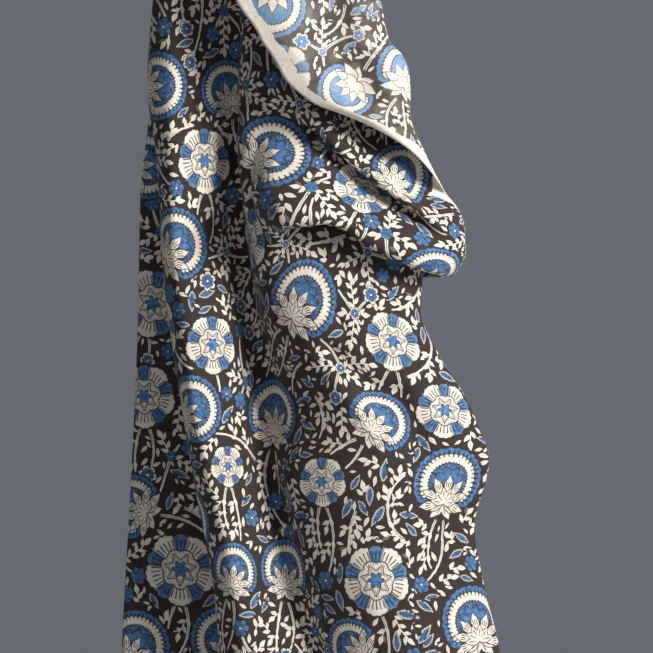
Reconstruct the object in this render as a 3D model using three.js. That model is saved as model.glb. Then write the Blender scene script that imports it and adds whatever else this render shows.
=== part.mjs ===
// A cut length of block-printed cotton, held along its top edge and falling in soft folds.
// Millimetres, +Z up. The origin is at the held top edge, and the front of the cloth faces -Y.
// The cloth is one thin sheet. Its plan section changes with the drop below the top edge, and two
// slanting tucks on the right fold it over itself. The right-hand edge is a selvedge: it is turned
// forward over the front at the top, and curls away behind below the tucks.
import * as THREE from 'three';

// Driving sizes, in millimetres. The hem share is how much of what the tucks take up is cut longer,
// so that the lower edge hangs nearer level.
const CUT_LENGTH = 735;
const THICKNESS = 1;
const HEM_SHARE = 0.5;
const LOWEST_DROP = 740;

// How finely the sheet is divided: columns across it, and rows down it, which gather above the tucks
const LEFT_COLUMNS = 18;
const RIGHT_COLUMNS = 34;
const ROWS = { aboveTucks: 15, upperTuck: 9, betweenTucks: 3, lowerTuck: 11, belowTucks: 14 };
const ROWS_GATHER = 0.6;
const SECTION_STEP = 4;
const CURVE_STEPS = 10;
const WALK_STEP = 1;
const LONGEST = CUT_LENGTH + 60;

// The folds run down the cloth as lines. A row gives a line's place at one drop: x is to the right,
// and depth is away from the front.
const FOLDS = {
  backEdge: [
    { drop: 0, x: 10, depth: 62 },
    { drop: 120, x: -20, depth: 66 },
    { drop: 250, x: -56, depth: 70 },
    { drop: 400, x: -76, depth: 80 },
    { drop: 740, x: -96, depth: 90 },
  ],
  backRoll: [
    { drop: 0, x: -80, depth: 30 },
    { drop: 70, x: -91, depth: 32 },
    { drop: 132, x: -97, depth: 35 },
    { drop: 161, x: -101, depth: 37 },
    { drop: 204, x: -106, depth: 43 },
    { drop: 293, x: -108, depth: 48 },
    { drop: 401, x: -113, depth: 58 },
    { drop: 527, x: -120, depth: 64 },
    { drop: 740, x: -128, depth: 66 },
  ],
  innerTurn: [
    { drop: 0, x: -54, depth: 19 },
    { drop: 132, x: -70, depth: 23 },
    { drop: 177, x: -69, depth: 27 },
    { drop: 293, x: -60, depth: 31 },
    { drop: 401, x: -46, depth: 35 },
    { drop: 527, x: -22, depth: 37 },
    { drop: 740, x: 0, depth: 38 },
  ],
  frontRoll: [
    { drop: 0, x: -84, depth: 8 },
    { drop: 70, x: -96, depth: 10 },
    { drop: 132, x: -100, depth: 11 },
    { drop: 175, x: -94, depth: 12 },
    { drop: 267, x: -88, depth: 12 },
    { drop: 340, x: -78, depth: 12 },
    { drop: 419, x: -65, depth: 12 },
    { drop: 472, x: -55, depth: 12 },
    { drop: 527, x: -49, depth: 12 },
    { drop: 740, x: -32, depth: 12 },
  ],
  leftRidge: [
    { drop: 0, x: -72, depth: -3 },
    { drop: 70, x: -84, depth: -5 },
    { drop: 238, x: -82, depth: -8 },
    { drop: 280, x: -76, depth: -10 },
    { drop: 350, x: -68, depth: -12 },
    { drop: 406, x: -56, depth: -12 },
    { drop: 462, x: -42, depth: -12 },
    { drop: 527, x: -32, depth: -12 },
    { drop: 740, x: -14, depth: -12 },
  ],
  leftPanel: [
    { drop: 0, x: -50, depth: 3 },
    { drop: 140, x: -60, depth: 9 },
    { drop: 210, x: -58, depth: 8 },
    { drop: 280, x: -50, depth: 4 },
    { drop: 406, x: -34, depth: 4 },
    { drop: 462, x: -22, depth: 2 },
    { drop: 527, x: -8, depth: -1 },
    { drop: 740, x: 14, depth: -3 },
  ],
  valley: [
    { drop: 0, x: -26, depth: 8 },
    { drop: 70, x: -37, depth: 16 },
    { drop: 140, x: -38, depth: 22 },
    { drop: 210, x: -35, depth: 27 },
    { drop: 280, x: -28, depth: 30 },
    { drop: 329, x: -20, depth: 31 },
    { drop: 378, x: -19, depth: 28 },
    { drop: 434, x: -5, depth: 19 },
    { drop: 490, x: 3, depth: 15 },
    { drop: 527, x: 18, depth: 12 },
    { drop: 740, x: 46, depth: 6 },
  ],
  valleyWall: [
    { drop: 0, x: -16, depth: -1 },
    { drop: 70, x: -28, depth: -2 },
    { drop: 177, x: -34, depth: -5 },
    { drop: 237, x: -24, depth: -8 },
    { drop: 280, x: -15, depth: -8 },
    { drop: 329, x: 2, depth: -6 },
    { drop: 360, x: 9, depth: -5 },
    { drop: 406, x: 2, depth: -6 },
    { drop: 437, x: 10, depth: -6 },
    { drop: 469, x: 18, depth: -9 },
    { drop: 527, x: 38, depth: -12 },
    { drop: 740, x: 64, depth: -12 },
  ],
  crest: [
    { drop: 0, x: 8, depth: -6 },
    { drop: 177, x: 0, depth: -14 },
    { drop: 237, x: 12, depth: -20 },
    { drop: 280, x: 16, depth: -22 },
    { drop: 329, x: 38, depth: -26 },
    { drop: 406, x: 54, depth: -30 },
    { drop: 469, x: 60, depth: -30 },
    { drop: 527, x: 80, depth: -30 },
    { drop: 740, x: 104, depth: -28 },
  ],
};

// The right-hand roll, and how far the selvedge reaches past it: forward over the front where the
// reach is positive, behind where it is negative. The crease is a soft fold in the turned-over part.
const RIGHT_SIDE = [
  { drop: 0, x: 52, reach: 124, crease: 0.3 },
  { drop: 70, x: 63, reach: 118, crease: 0.32 },
  { drop: 99, x: 69, reach: 106, crease: 0.43 },
  { drop: 111, x: 79, reach: 108, crease: 0.47 },
  { drop: 122, x: 83, reach: 106, crease: 0.47 },
  { drop: 144, x: 84, reach: 84, crease: 0.47 },
  { drop: 152, x: 84, reach: 62, crease: 0.48 },
  { drop: 161, x: 86, reach: 42, crease: 0.5 },
  { drop: 175, x: 92, reach: 22, crease: 0.5 },
  { drop: 192, x: 100, reach: 7, crease: 0.5 },
  { drop: 202, x: 104, reach: 2, crease: 0.5 },
  { drop: 212, x: 106, reach: -4, crease: 0.5 },
  { drop: 220, x: 105, reach: -9, crease: 0.5 },
  { drop: 232, x: 102, reach: -16, crease: 0.5 },
  { drop: 245, x: 101, reach: -22, crease: 0.5 },
  { drop: 256, x: 96, reach: -28, crease: 0.5 },
  { drop: 266, x: 92, reach: -33, crease: 0.5 },
  { drop: 288, x: 91, reach: -42, crease: 0.5 },
  { drop: 317, x: 103, reach: -48, crease: 0.5 },
  { drop: 339, x: 117, reach: -50, crease: 0.5 },
  { drop: 362, x: 129, reach: -50, crease: 0.5 },
  { drop: 394, x: 139, reach: -50, crease: 0.5 },
  { drop: 437, x: 129, reach: -50, crease: 0.5 },
  { drop: 483, x: 136, reach: -50, crease: 0.5 },
  { drop: 524, x: 146, reach: -50, crease: 0.5 },
  { drop: 740, x: 164, reach: -50, crease: 0.5 },
];
const ROLL = {
  softness: 18,
  depth: -9,
  depthForward: -11,
  shoulderIn: 17,
  shoulderForward: 3,
  forwardGap: 26,
  backwardGap: 22,
  fullBowRun: 40,
  creaseDepth: 9,
  creaseStart: 40,
  creaseFullReach: 110,
};

// Each tuck is a line across the front: the drop of its lower lip at x, and how far the cloth turns
// there, in degrees. The length is taken up in the tuck, and the lead is where the cloth above it
// starts to swell forward.
const TUCKS = [
  {
    length: 27,
    lead: 40,
    lip: [
      { x: -30, drop: 130, turn: 0 },
      { x: 0, drop: 147, turn: 60 },
      { x: 17, drop: 164, turn: 120 },
      { x: 38, drop: 184, turn: 132 },
      { x: 60, drop: 200, turn: 125 },
      { x: 77, drop: 213, turn: 95 },
      { x: 88, drop: 223, turn: 70 },
      { x: 97, drop: 234, turn: 35 },
      { x: 104, drop: 238, turn: 15 },
    ],
  },
  {
    length: 50,
    lead: 60,
    lip: [
      { x: -20, drop: 237, turn: 0 },
      { x: 0, drop: 231, turn: 95 },
      { x: 24, drop: 227, turn: 150 },
      { x: 38, drop: 232, turn: 172 },
      { x: 52, drop: 243, turn: 180 },
      { x: 70, drop: 253, turn: 180 },
      { x: 88, drop: 261, turn: 180 },
      { x: 100, drop: 267, turn: 180 },
      { x: 120, drop: 268, turn: 175 },
    ],
  },
];

// Soft troughs across the lower front, each along a straight line. A negative depth is a ridge.
const CREASES = [
  { fromX: 30, fromDrop: 322, toX: 66, toDrop: 346, depth: 5, width: 15 },
  { fromX: 66, fromDrop: 346, toX: 94, toDrop: 384, depth: 5, width: 15 },
  { fromX: 132, fromDrop: 402, toX: 92, toDrop: 474, depth: 4, width: 14 },
];

const { clamp, degToRad, lerp, smoothstep } = THREE.MathUtils;

// A smooth curve through one column of a table that never overshoots its rows
function smoothColumn(rows, key) {
  const at = rows.map((row) => row.drop);
  const value = rows.map((row) => row[key]);
  const slope = value.slice(1).map((v, i) => (v - value[i]) / (at[i + 1] - at[i]));
  const tangent = value.map((v, i) => {
    if (i === 0 || i === value.length - 1) return slope[Math.min(i, slope.length - 1)];
    const before = slope[i - 1];
    const after = slope[i];
    return before * after <= 0 ? 0 : (2 * before * after) / (before + after);
  });
  return (drop) => {
    const d = clamp(drop, at[0], at[at.length - 1]);
    const i = Math.min(Math.max(at.findIndex((a) => a > d) - 1, 0), at.length - 2);
    const k = d >= at[at.length - 1] ? at.length - 2 : i;
    const width = at[k + 1] - at[k];
    const t = (d - at[k]) / width;
    const rise = t * t * (3 - 2 * t);
    return (
      lerp(value[k], value[k + 1], rise) +
      width * tangent[k] * t * (1 - t) * (1 - t) -
      width * tangent[k + 1] * t * t * (1 - t)
    );
  };
}

function straightColumn(rows, key) {
  return (x) => {
    if (x <= rows[0].x) return rows[0][key];
    const i = rows.findIndex((row) => row.x > x);
    if (i < 0) return rows[rows.length - 1][key];
    return lerp(rows[i - 1][key], rows[i][key], (x - rows[i - 1].x) / (rows[i].x - rows[i - 1].x));
  };
}

const foldLines = Object.values(FOLDS).map((rows) => ({
  x: smoothColumn(rows, 'x'),
  depth: smoothColumn(rows, 'depth'),
}));
const VALLEY = Object.keys(FOLDS).indexOf('valley');
const ROLL_LINE = foldLines.length + 1;
const rollX = smoothColumn(RIGHT_SIDE, 'x');
const rollReach = smoothColumn(RIGHT_SIDE, 'reach');
const creasePlace = smoothColumn(RIGHT_SIDE, 'crease');

// +1 where the selvedge is well forward of the roll, -1 where it is well behind
const rollSide = (reach) => reach / Math.hypot(reach, ROLL.softness);

function sectionControls(drop) {
  const points = foldLines.map((line) => [line.x(drop), line.depth(drop)]);
  const x = rollX(drop);
  const reach = rollReach(drop);
  const side = rollSide(reach);
  const run = Math.hypot(reach, ROLL.softness) - ROLL.softness;
  const depth = ROLL.depth + ROLL.depthForward * side;
  const gap = (reach > 0 ? ROLL.forwardGap : ROLL.backwardGap) * side;
  const crease = creasePlace(drop);
  const groove = ROLL.creaseDepth * smoothstep(reach, ROLL.creaseStart, ROLL.creaseFullReach);
  const bow = clamp(run / ROLL.fullBowRun, 0, 1);
  points.push([x - ROLL.shoulderIn, ROLL.depth + ROLL.shoulderForward * side]);
  points.push([x, depth]);
  points.push([x - 0.14 * run, depth - 0.75 * gap]);
  points.push([x - crease * run, depth - (0.86 + 0.16 * bow) * gap + groove]);
  points.push([x - (0.55 + 0.45 * crease) * run, depth - (0.94 + 0.2 * bow) * gap]);
  points.push([x - run, depth - gap]);
  return points.map(([px, pdepth]) => new THREE.Vector3(px, pdepth, 0));
}

// The plan section at one drop: points along it, and the length along it to each of them
function section(drop) {
  const controls = sectionControls(drop);
  const curve = new THREE.CatmullRomCurve3(controls, false, 'centripetal');
  const count = (controls.length - 1) * CURVE_STEPS;
  const points = Array.from({ length: count + 1 }, (_, i) => curve.getPoint(i / count));
  const length = [0];
  for (let i = 1; i <= count; i += 1) length.push(length[i - 1] + points[i].distanceTo(points[i - 1]));
  const reach = rollReach(drop);
  return {
    points,
    length,
    toValley: length[VALLEY * CURVE_STEPS],
    toRoll: length[ROLL_LINE * CURVE_STEPS],
    rollX: points[ROLL_LINE * CURVE_STEPS].x,
    side: rollSide(reach),
  };
}

function pointAlong(cut, along) {
  const s = clamp(along, 0, cut.length[cut.length.length - 1]);
  const i = Math.max(cut.length.findIndex((l) => l >= s), 1);
  const part = (s - cut.length[i - 1]) / Math.max(cut.length[i] - cut.length[i - 1], 1e-9);
  return new THREE.Vector3().lerpVectors(cut.points[i - 1], cut.points[i], part);
}

// Where a tuck pushes the cloth: square to its section, and away from the roll around the roll
function outward(cut, along) {
  const tangent = pointAlong(cut, along + 6).sub(pointAlong(cut, along - 6)).normalize();
  const nearRoll = 2 * Math.exp(-(((along - cut.toRoll) / 14) ** 2));
  const share = smoothstep(cut.side, -0.6, 0.6) * smoothstep(along, cut.toRoll - 60, cut.toRoll - 30);
  const x = lerp(tangent.y, nearRoll, share);
  const depth = lerp(-tangent.x, -1, share);
  return new THREE.Vector3(x, depth, 0).normalize();
}

const SECTIONS = [];
for (let drop = 0; drop <= LOWEST_DROP; drop += SECTION_STEP) SECTIONS.push(section(drop));

// A column of the sheet. On the left it follows the folds, from the back edge at -1 to the valley at
// 0, and on the right it keeps its share of the way to the selvedge at +1.
function column(across) {
  return SECTIONS.map((cut) => {
    const total = cut.length[cut.length.length - 1];
    const step = (1 + across) * VALLEY * CURVE_STEPS;
    const low = Math.min(Math.floor(step), VALLEY * CURVE_STEPS - 1);
    const along =
      across < 0
        ? lerp(cut.length[low], cut.length[low + 1], step - low)
        : cut.toValley + across * (total - cut.toValley);
    const place = pointAlong(cut, along);
    const push = outward(cut, along);
    return {
      x: place.x,
      depth: place.y,
      pushX: push.x,
      pushDepth: push.y,
      tuckX: along > cut.toRoll ? cut.rollX : place.x,
      rollX: cut.rollX,
      fromValley: along - cut.toValley,
    };
  });
}

function columnAt(rows, drop) {
  const step = clamp(drop, 0, LOWEST_DROP - 0.01) / SECTION_STEP;
  const i = Math.min(Math.floor(step), rows.length - 2);
  const mixed = {};
  for (const key of Object.keys(rows[i])) mixed[key] = lerp(rows[i][key], rows[i + 1][key], step - i);
  return mixed;
}

// How far the cloth has turned, as a share of the tuck's full turn, part way through the tuck
const turnShape = (part) => Math.sin(Math.PI * part) ** 2 * (1 + 0.35 * Math.cos(Math.PI * part) ** 2);

// Where one tuck starts in a column, and how far forward of the cloth below its lip hangs
function tuckIn(rows, tuck) {
  const dropOfLip = straightColumn(tuck.lip, 'drop');
  const turnOfLip = straightColumn(tuck.lip, 'turn');
  let lip = 200;
  for (let i = 0; i < 12; i += 1) lip = (lip + dropOfLip(columnAt(rows, lip).tuckX)) / 2;
  const turn = degToRad(turnOfLip(columnAt(rows, lip).tuckX));
  const steps = 80;
  const back = [0];
  let drop = 0;
  let lowest = 0;
  for (let i = 0; i < steps; i += 1) {
    const angle = turn * turnShape((i + 0.5) / steps);
    back.push(back[i] + (Math.sin(angle) * tuck.length) / steps);
    drop += (Math.cos(angle) * tuck.length) / steps;
    if (i < steps / 2) lowest = Math.max(lowest, drop);
  }
  const backAt = (part) => {
    const step = clamp(part, 0, 1) * steps;
    const i = Math.min(Math.floor(step), steps - 1);
    return lerp(back[i], back[i + 1], step - i);
  };
  return { ...tuck, turn, start: lip - lowest, swell: back[steps], backAt };
}

// The way down one column, millimetre by millimetre: the drop, and the push of the tucks
function walkDown(rows) {
  const tucks = TUCKS.map((tuck) => tuckIn(rows, tuck));
  const part = tucks.map(() => -1);
  const entry = tucks.map(() => 0);
  const steps = [];
  let drop = 0;
  for (let along = 0; along <= LONGEST; along += WALK_STEP) {
    let push = 0;
    let angle = 0;
    tucks.forEach((tuck, k) => {
      const swelling = smoothstep(drop, tuck.start - tuck.lead, tuck.start);
      push += part[k] < 0 ? tuck.swell * swelling : tuck.swell - tuck.backAt(part[k]);
      if (part[k] >= 0 && part[k] < 1) angle += tuck.turn * turnShape(part[k]);
    });
    steps.push({ drop, push });
    drop += Math.cos(angle) * WALK_STEP;
    tucks.forEach((tuck, k) => {
      if (part[k] >= 0) part[k] += WALK_STEP / tuck.length;
      else if (drop >= tuck.start) {
        part[k] = (drop - tuck.start) / tuck.length;
        entry[k] = along + WALK_STEP - (drop - tuck.start);
      }
    });
  }
  const takenUp = CUT_LENGTH - steps[CUT_LENGTH / WALK_STEP].drop;
  return { steps, entry, hem: CUT_LENGTH + HEM_SHARE * takenUp };
}

function creasePush(x, drop) {
  return CREASES.reduce((sum, crease) => {
    const runX = crease.toX - crease.fromX;
    const runDrop = crease.toDrop - crease.fromDrop;
    const share = ((x - crease.fromX) * runX + (drop - crease.fromDrop) * runDrop) / (runX ** 2 + runDrop ** 2);
    const t = clamp(share, 0, 1);
    const away = Math.hypot(x - crease.fromX - t * runX, drop - crease.fromDrop - t * runDrop);
    return sum - crease.depth * Math.exp(-((away / crease.width) ** 2));
  }, 0);
}

// Points down one column, with the same number of rows in each tuck all the way across the sheet
function columnPoints(across) {
  const rows = column(across);
  const { steps, entry, hem } = walkDown(rows);
  const ends = [
    [0, entry[0], ROWS.aboveTucks],
    [entry[0], entry[0] + TUCKS[0].length, ROWS.upperTuck],
    [entry[0] + TUCKS[0].length, entry[1], ROWS.betweenTucks],
    [entry[1], entry[1] + TUCKS[1].length, ROWS.lowerTuck],
    [entry[1] + TUCKS[1].length, hem, ROWS.belowTucks],
  ];
  const alongs = [0];
  for (const [from, to, count] of ends) {
    const gather = from === 0 ? ROWS_GATHER : 1;
    for (let i = 1; i <= count; i += 1) alongs.push(lerp(from, to, (i / count) ** gather));
  }
  return alongs.map((along) => {
    const i = Math.min(Math.floor(along / WALK_STEP), steps.length - 2);
    const t = along / WALK_STEP - i;
    const drop = lerp(steps[i].drop, steps[i + 1].drop, t);
    const place = columnAt(rows, drop);
    const onFront = clamp(place.fromValley / 15, 0, 1) * clamp((place.rollX - place.tuckX) / 4, 0, 1);
    const push = lerp(steps[i].push, steps[i + 1].push, t) + onFront * creasePush(place.x, drop);
    return new THREE.Vector3(place.x + push * place.pushX, place.depth + push * place.pushDepth, -drop);
  });
}

// The direction at a point between its two neighbours, which count the same however far off they are
function wayThrough(before, here, after) {
  const arriving = new THREE.Vector3().subVectors(here, before).normalize();
  const leaving = new THREE.Vector3().subVectors(after, here).normalize();
  return arriving.add(leaving);
}

// A closed solid of the sheet: its front, its back, and the four cut edges that join them. Each
// patch is split along its shorter diagonal, the same way on both faces.
function clothGeometry() {
  const acrosses = [];
  for (let i = 0; i < LEFT_COLUMNS; i += 1) acrosses.push(i / LEFT_COLUMNS - 1);
  for (let i = 0; i <= RIGHT_COLUMNS; i += 1) acrosses.push(i / RIGHT_COLUMNS);
  const grid = acrosses.map(columnPoints);
  const columns = grid.length;
  const rows = grid[0].length;

  const positions = [];
  const normal = new THREE.Vector3();
  for (const face of [1, -1]) {
    for (let c = 0; c < columns; c += 1) {
      for (let r = 0; r < rows; r += 1) {
        const here = grid[c][r];
        const right = wayThrough(grid[Math.max(c - 1, 0)][r], here, grid[Math.min(c + 1, columns - 1)][r]);
        const down = wayThrough(grid[c][Math.max(r - 1, 0)], here, grid[c][Math.min(r + 1, rows - 1)]);
        normal.crossVectors(down, right).normalize().multiplyScalar((face * THICKNESS) / 2);
        positions.push(...new THREE.Vector3().addVectors(here, normal).toArray());
      }
    }
  }

  const front = (c, r) => c * rows + r;
  const back = (c, r) => columns * rows + front(c, r);
  const indices = [];
  const quad = (a, b, c, d) => indices.push(a, b, c, a, c, d);
  for (let c = 0; c < columns - 1; c += 1) {
    for (let r = 0; r < rows - 1; r += 1) {
      const falling = grid[c][r].distanceTo(grid[c + 1][r + 1]);
      const rising = grid[c][r + 1].distanceTo(grid[c + 1][r]);
      if (falling < rising) {
        quad(front(c, r), front(c, r + 1), front(c + 1, r + 1), front(c + 1, r));
        quad(back(c, r), back(c + 1, r), back(c + 1, r + 1), back(c, r + 1));
      } else {
        quad(front(c, r + 1), front(c + 1, r + 1), front(c + 1, r), front(c, r));
        quad(back(c + 1, r), back(c + 1, r + 1), back(c, r + 1), back(c, r));
      }
    }
    quad(front(c, 0), front(c + 1, 0), back(c + 1, 0), back(c, 0));
    quad(front(c, rows - 1), back(c, rows - 1), back(c + 1, rows - 1), front(c + 1, rows - 1));
  }
  for (let r = 0; r < rows - 1; r += 1) {
    quad(front(0, r), back(0, r), back(0, r + 1), front(0, r + 1));
    const last = columns - 1;
    quad(front(last, r), front(last, r + 1), back(last, r + 1), back(last, r));
  }

  const geometry = new THREE.BufferGeometry();
  geometry.setAttribute('position', new THREE.Float32BufferAttribute(positions, 3));
  geometry.setIndex(indices);
  geometry.computeVertexNormals();
  return geometry;
}

const printedCotton = new THREE.MeshStandardMaterial({ color: 0x4a4a55, roughness: 0.9, metalness: 0 });
const cloth = new THREE.Mesh(clothGeometry(), printedCotton);
cloth.name = 'cloth';

const fabric = new THREE.Group();
fabric.add(cloth);
export default fabric;
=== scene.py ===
# %% [markdown]
# # Block-printed cotton, hanging in soft folds
#
# A cut length of light cotton is held along its top edge. It was printed by hand with carved
# blocks, as cottons of this kind are: an outline block in dark ground colour, then a blue one.
# The solid from CAD gives the folds. This script lays a thin, finely divided sheet on them, and
# then draws the print on it by rule, in the sheet's own flat measurements.

# %% Start
import math

import bpy
import numpy as np
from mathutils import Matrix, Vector


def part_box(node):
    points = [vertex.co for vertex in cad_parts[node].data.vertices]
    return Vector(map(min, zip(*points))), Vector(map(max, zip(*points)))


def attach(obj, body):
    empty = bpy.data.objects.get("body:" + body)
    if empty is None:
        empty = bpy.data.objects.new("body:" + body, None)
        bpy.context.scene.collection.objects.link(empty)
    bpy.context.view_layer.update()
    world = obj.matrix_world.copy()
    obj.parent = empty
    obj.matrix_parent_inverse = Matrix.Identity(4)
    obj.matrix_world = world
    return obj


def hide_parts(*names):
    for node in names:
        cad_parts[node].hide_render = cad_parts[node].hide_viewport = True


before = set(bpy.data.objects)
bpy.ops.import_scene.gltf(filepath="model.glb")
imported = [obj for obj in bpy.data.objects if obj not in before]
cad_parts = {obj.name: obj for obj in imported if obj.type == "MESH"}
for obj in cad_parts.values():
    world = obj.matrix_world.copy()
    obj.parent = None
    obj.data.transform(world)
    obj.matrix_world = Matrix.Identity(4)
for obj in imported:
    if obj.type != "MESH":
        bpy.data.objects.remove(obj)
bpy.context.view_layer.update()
low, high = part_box("cloth")
print("CAD cloth from", [round(v, 3) for v in low], "to", [round(v, 3) for v in high])

MM = 0.001

# %% [markdown]
# ## The folds
#
# The folds run down the cloth as lines, and each line is a table: how far down, how far to the
# right, how deep. These are the same tables as in the CAD part, so the sheet lies on its solid.
# A smooth curve through each table, and then a curve across all the lines at one height, gives
# the plan section there.

# %% Lines that run down the cloth
# Each row: drop below the top edge, x to the right, depth away from the front, in millimetres
FOLDS = {
    "back_edge": [(0, 10, 62), (120, -20, 66), (250, -56, 70), (400, -76, 80), (740, -96, 90)],
    "back_roll": [
        (0, -80, 30), (70, -91, 32), (132, -97, 35), (161, -101, 37), (204, -106, 43),
        (293, -108, 48), (401, -113, 58), (527, -120, 64), (740, -128, 66),
    ],
    "inner_turn": [
        (0, -54, 19), (132, -70, 23), (177, -69, 27), (293, -60, 31), (401, -46, 35),
        (527, -22, 37), (740, 0, 38),
    ],
    "front_roll": [
        (0, -84, 8), (70, -96, 10), (132, -100, 11), (175, -94, 12), (267, -88, 12),
        (340, -78, 12), (419, -65, 12), (472, -55, 12), (527, -49, 12), (740, -32, 12),
    ],
    "left_ridge": [
        (0, -72, -3), (70, -84, -5), (238, -82, -8), (280, -76, -10), (350, -68, -12),
        (406, -56, -12), (462, -42, -12), (527, -32, -12), (740, -14, -12),
    ],
    "left_panel": [
        (0, -50, 3), (140, -60, 9), (210, -58, 8), (280, -50, 4), (406, -34, 4),
        (462, -22, 2), (527, -8, -1), (740, 14, -3),
    ],
    "valley": [
        (0, -26, 8), (70, -37, 16), (140, -38, 22), (210, -35, 27), (280, -28, 30),
        (329, -20, 31), (378, -19, 28), (434, -5, 19), (490, 3, 15), (527, 18, 12), (740, 46, 6),
    ],
    "valley_wall": [
        (0, -16, -1), (70, -28, -2), (177, -34, -5), (237, -24, -8), (280, -15, -8), (329, 2, -6),
        (360, 9, -5), (406, 2, -6), (437, 10, -6), (469, 18, -9), (527, 38, -12), (740, 64, -12),
    ],
    "crest": [
        (0, 8, -6), (177, 0, -14), (237, 12, -20), (280, 16, -22), (329, 38, -26), (406, 54, -30),
        (469, 60, -30), (527, 80, -30), (740, 104, -28),
    ],
}
print("fold lines", len(FOLDS), "- points on them", sum(len(rows) for rows in FOLDS.values()))

# %% [markdown]
# ## The right-hand side
#
# Near the top the selvedge is turned forward over the front, like a collar. Lower down the cloth
# rolls away behind instead. It could be made as two shapes, but the turn changes little by
# little, so one table says how far the selvedge reaches past the roll, and on which side of it.

# %% The right-hand side
# Each row: drop, x of the right-hand roll, reach of the selvedge past it (forward where it is
# positive, behind where it is negative), and where the crease lies in the turned-over part
RIGHT_SIDE = [
    (0, 52, 124, 0.3), (70, 63, 118, 0.32), (99, 69, 106, 0.43), (111, 79, 108, 0.47),
    (122, 83, 106, 0.47), (144, 84, 84, 0.47), (152, 84, 62, 0.48), (161, 86, 42, 0.5),
    (175, 92, 22, 0.5), (192, 100, 7, 0.5), (202, 104, 2, 0.5), (212, 106, -4, 0.5),
    (220, 105, -9, 0.5), (232, 102, -16, 0.5), (245, 101, -22, 0.5), (256, 96, -28, 0.5),
    (266, 92, -33, 0.5), (288, 91, -42, 0.5), (317, 103, -48, 0.5), (339, 117, -50, 0.5),
    (362, 129, -50, 0.5), (394, 139, -50, 0.5), (437, 129, -50, 0.5), (483, 136, -50, 0.5),
    (524, 146, -50, 0.5), (740, 164, -50, 0.5),
]
print("the selvedge reaches from", RIGHT_SIDE[0][2], "mm in front to", -RIGHT_SIDE[-1][2], "mm behind")

# %% [markdown]
# ## Tucks and creases
#
# Where the hanging cloth is caught up, it folds over itself along a lip. A tuck is a list of
# places on its lip, with the angle that the cloth turns through there. A crease is a straight
# soft groove or ridge across the front, and needs no more than its two ends.

# %% Tucks and creases
# Each tuck folds the sheet over itself along a lip. Each row: x, drop of the lip, turn in degrees
TUCKS = [
    {
        "length": 27,
        "lead": 40,
        "lip": [
            (-30, 130, 0), (0, 147, 60), (17, 164, 120), (38, 184, 132), (60, 200, 125),
            (77, 213, 95), (88, 223, 70), (97, 234, 35), (104, 238, 15),
        ],
    },
    {
        "length": 50,
        "lead": 60,
        "lip": [
            (-20, 237, 0), (0, 231, 95), (24, 227, 150), (38, 232, 172), (52, 243, 180),
            (70, 253, 180), (88, 261, 180), (100, 267, 180), (120, 268, 175),
        ],
    },
]
# Each row: from x and drop, to x and drop, depth (a ridge where negative), width. The first
# three are in the solid too; the others are finer than it can hold.
CREASES = [
    (30, 322, 66, 346, 5, 15),
    (66, 346, 94, 384, 5, 15),
    (132, 402, 92, 474, 4, 14),
    (28, 315, 57, 341, 2.5, 6),
    (57, 341, 80, 347, 2, 6),
    (78, 347, 92, 380, 3, 6),
    (20, 323, 66, 378, -3, 7),
    (131, 405, 112, 444, 2, 5),
    (112, 444, 94, 471, 2, 5),
    (31, 287, 38, 304, 2, 5),
    (73, 490, 63, 507, 3, 8),
]
print("tucks", len(TUCKS), "- creases", len(CREASES))

# %% A smooth curve through a table
def smoothstep(value, start, end):
    """A soft step from 0 to 1 between two values."""
    share = np.clip((value - start) / (end - start), 0, 1)
    return share * share * (3 - 2 * share)


def smooth_column(rows, column):
    """A smooth curve through one column of a table that never overshoots its rows."""
    at = np.array([row[0] for row in rows], float)
    value = np.array([row[column] for row in rows], float)
    slope = np.diff(value) / np.diff(at)
    tangent = np.concatenate([slope[:1], np.zeros(len(rows) - 2), slope[-1:]])
    for i in range(1, len(rows) - 1):
        if slope[i - 1] * slope[i] > 0:
            tangent[i] = 2 * slope[i - 1] * slope[i] / (slope[i - 1] + slope[i])

    def curve(drop):
        drop = np.clip(drop, at[0], at[-1])
        k = np.clip(np.searchsorted(at, drop, side="right") - 1, 0, len(rows) - 2)
        width = at[k + 1] - at[k]
        t = (drop - at[k]) / width
        rise = t * t * (3 - 2 * t)
        return (
            value[k] + (value[k + 1] - value[k]) * rise
            + width * tangent[k] * t * (1 - t) ** 2
            - width * tangent[k + 1] * t * t * (1 - t)
        )

    return curve


# %% [markdown]
# ## The plan sections
#
# At each height a smooth curve passes through all the fold lines and round the right-hand roll.
# Real cloth bends gently everywhere, so the curve has no corners; it only gets tight where the
# photograph shows a crisp edge, at the rolls on both sides.

# %% The points of a section
ROLL_SOFTNESS = 18
ROLL_DEPTH = -9
ROLL_DEPTH_FORWARD = -11
SHOULDER_IN = 17
SHOULDER_FORWARD = 3
FORWARD_GAP = 26
BACKWARD_GAP = 22
FULL_BOW_RUN = 40
CREASE_DEPTH = 9
CREASE_START = 40
CREASE_FULL_REACH = 110


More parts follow.
